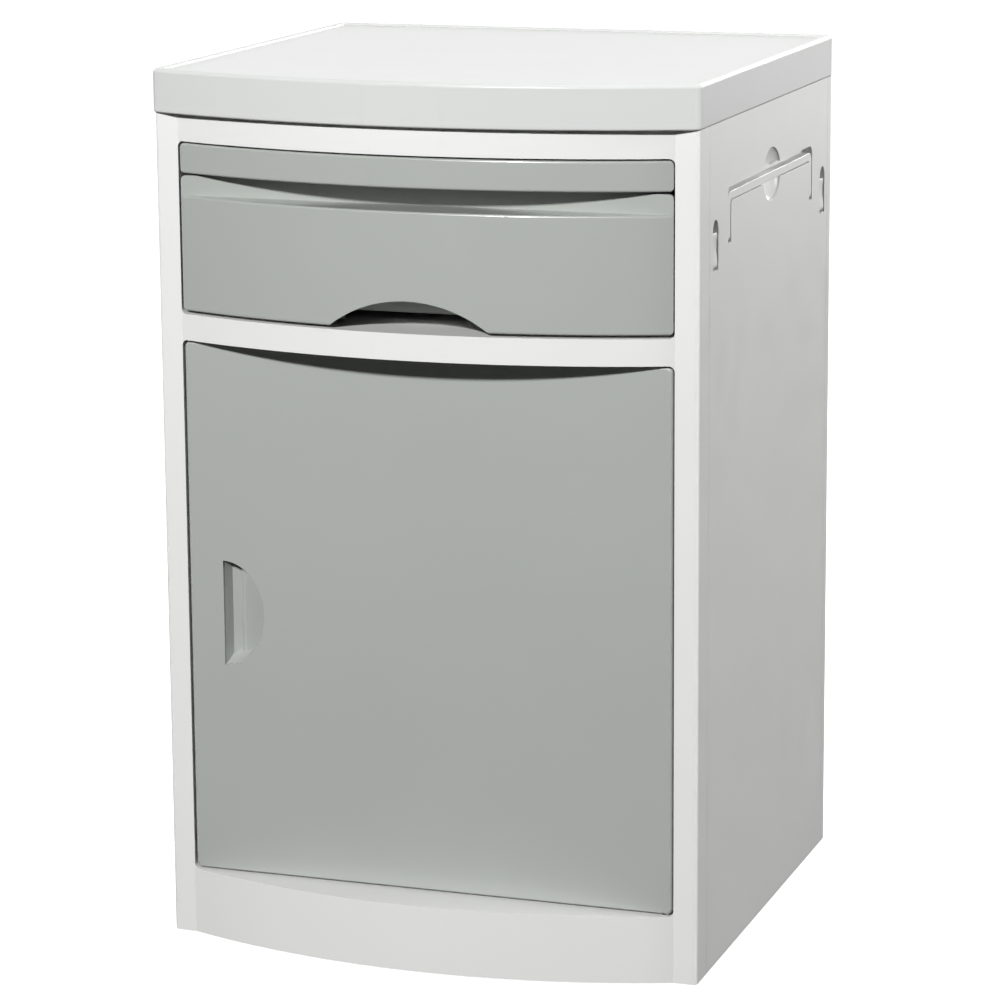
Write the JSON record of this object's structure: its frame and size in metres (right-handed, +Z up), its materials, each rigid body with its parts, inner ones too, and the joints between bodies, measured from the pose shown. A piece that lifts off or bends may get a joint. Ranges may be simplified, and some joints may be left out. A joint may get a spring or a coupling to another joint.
{
  "type": "bedside cabinet",
  "caption": "Bedside cabinet with bowed front, tray top, pull-out board, drawer, hinged locker door with shelf, and fold-out towel rails and hooks.",
  "frame": {"origin": "on the floor, under the middle of the outline", "axes": "+Z up, -Y towards the front, +X to the right when seen from the front"},
  "size_m": [0.48, 0.48, 0.76],
  "materials": {
    "abs_white": "semi-gloss moulded ABS",
    "abs_top": "glossy moulded ABS",
    "abs_grey": "semi-gloss moulded ABS",
    "abs_inner": "fine grained moulded ABS",
    "nylon": "natural nylon",
    "foot_plastic": "matte black plastic",
    "steel": "zinc plated"
  },
  "bodies": {
    "cabinet": {"front_frame": "abs_white", "back_panel": "abs_white", "side_panel_left": "abs_white", "side_panel_right": "abs_white", "magnet_catch": "abs_white", "tray_top": "abs_top", "base_panel": "abs_inner", "divider_panel": "abs_inner", "locker_shelf": "abs_inner", "shelf_peg_left_front": "nylon", "shelf_peg_left_rear": "nylon", "shelf_peg_right_front": "nylon", "shelf_peg_right_rear": "nylon", "hinge_bush_lower": "nylon", "hinge_bush_upper": "nylon", "board_runner_left": "nylon", "board_runner_right": "nylon", "drawer_runner_left": "nylon", "drawer_runner_right": "nylon", "foot_left_front": "foot_plastic", "foot_left_rear": "foot_plastic", "foot_right_front": "foot_plastic", "foot_right_rear": "foot_plastic", "back_screw_left_low": "steel", "back_screw_left_mid": "steel", "back_screw_left_high": "steel", "back_screw_right_low": "steel", "back_screw_right_mid": "steel", "back_screw_right_high": "steel"},
    "pull_out_board": {"dining_board": "abs_inner", "dining_board_front": "abs_grey"},
    "drawer": {"drawer_front": "abs_grey", "drawer_box": "abs_inner", "drawer_screw_left": "steel", "drawer_screw_right": "steel"},
    "door": {"door_panel": "abs_grey", "door_liner": "abs_inner", "door_pull_cup": "abs_grey", "hinge_pin_lower": "steel", "hinge_pin_upper": "steel", "strike_plate": "steel"},
    "towel_rail_left": {"towel_rail_left": "abs_white"},
    "towel_rail_right": {"towel_rail_right": "abs_white"},
    "hook_left_front": {"hook_left_front": "abs_white"},
    "hook_left_rear": {"hook_left_rear": "abs_white"},
    "hook_right_front": {"hook_right_front": "abs_white"},
    "hook_right_rear": {"hook_right_rear": "abs_white"}
  },
  "joints": [
    {"name": "board_slide", "type": "slide", "parent": "cabinet", "child": "pull_out_board", "axis": [0, -1, 0], "range_m": [0, 0.26]},
    {"name": "drawer_slide", "type": "slide", "parent": "cabinet", "child": "drawer", "axis": [0, -1, 0], "range_m": [0, 0.27]},
    {"name": "door_hinge", "type": "hinge", "parent": "cabinet", "child": "door", "pos_m": [0.2105, -0.186, 0.29], "axis": [0, 0, 1], "range_deg": [0, 95]},
    {"name": "towel_rail_right_pivot", "type": "hinge", "parent": "cabinet", "child": "towel_rail_right", "pos_m": [0.2342, 0.032, 0.624], "axis": [0, 1, 0], "range_deg": [0, 90]},
    {"name": "towel_rail_left_pivot", "type": "hinge", "parent": "cabinet", "child": "towel_rail_left", "pos_m": [-0.2342, 0.032, 0.624], "axis": [0, -1, 0], "range_deg": [0, 90]},
    {"name": "hook_right_front_pivot", "type": "hinge", "parent": "cabinet", "child": "hook_right_front", "pos_m": [0.2342, -0.144, 0.6065], "axis": [0, 1, 0], "range_deg": [0, 60]},
    {"name": "hook_right_rear_pivot", "type": "hinge", "parent": "cabinet", "child": "hook_right_rear", "pos_m": [0.2342, 0.208, 0.6065], "axis": [0, 1, 0], "range_deg": [0, 60]},
    {"name": "hook_left_front_pivot", "type": "hinge", "parent": "cabinet", "child": "hook_left_front", "pos_m": [-0.2342, -0.144, 0.6065], "axis": [0, -1, 0], "range_deg": [0, 60]},
    {"name": "hook_left_rear_pivot", "type": "hinge", "parent": "cabinet", "child": "hook_left_rear", "pos_m": [-0.2342, 0.208, 0.6065], "axis": [0, -1, 0], "range_deg": [0, 60]}
  ]
}
